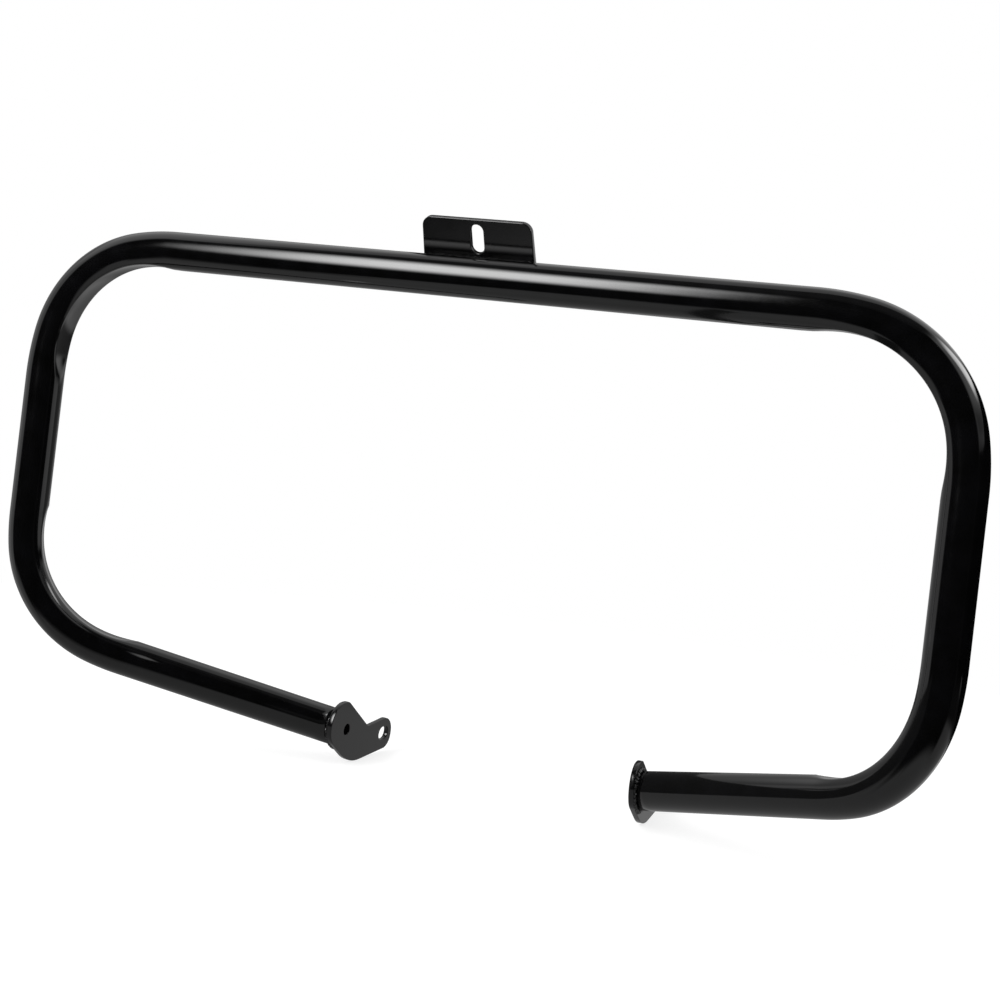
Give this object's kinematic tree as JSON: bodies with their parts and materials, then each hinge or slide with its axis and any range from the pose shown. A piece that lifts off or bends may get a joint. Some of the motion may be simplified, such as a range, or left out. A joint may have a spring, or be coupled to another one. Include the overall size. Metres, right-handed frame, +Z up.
{
  "type": "motorcycle engine guard",
  "caption": "One-piece bent tube guard that bows round a motorcycle's engine, with a slotted top bracket and a bolt-on plate at the end of each swept-back leg.",
  "frame": {"origin": "middle of the top bar's axis, in the guard's mirror plane", "axes": "+X along the top bar, +Y to the rear of the motorcycle, +Z up, with the guard's sides upright"},
  "size_m": [0.7948, 0.2571, 0.4738],
  "materials": {
    "guard_powder_coat": "gloss black powder coat",
    "plate_powder_coat": "gloss black powder coat on flat plate",
    "weld_powder_coat": "gloss black powder coat over weld beads"
  },
  "bodies": {
    "root": {"guard_tube": "guard_powder_coat", "top_bracket": "plate_powder_coat", "left_end_plate": "plate_powder_coat", "right_end_plate": "plate_powder_coat", "bracket_upper_weld": "weld_powder_coat", "bracket_lower_weld": "weld_powder_coat", "left_end_weld": "weld_powder_coat", "right_end_weld": "weld_powder_coat"}
  },
  "joints": []
}
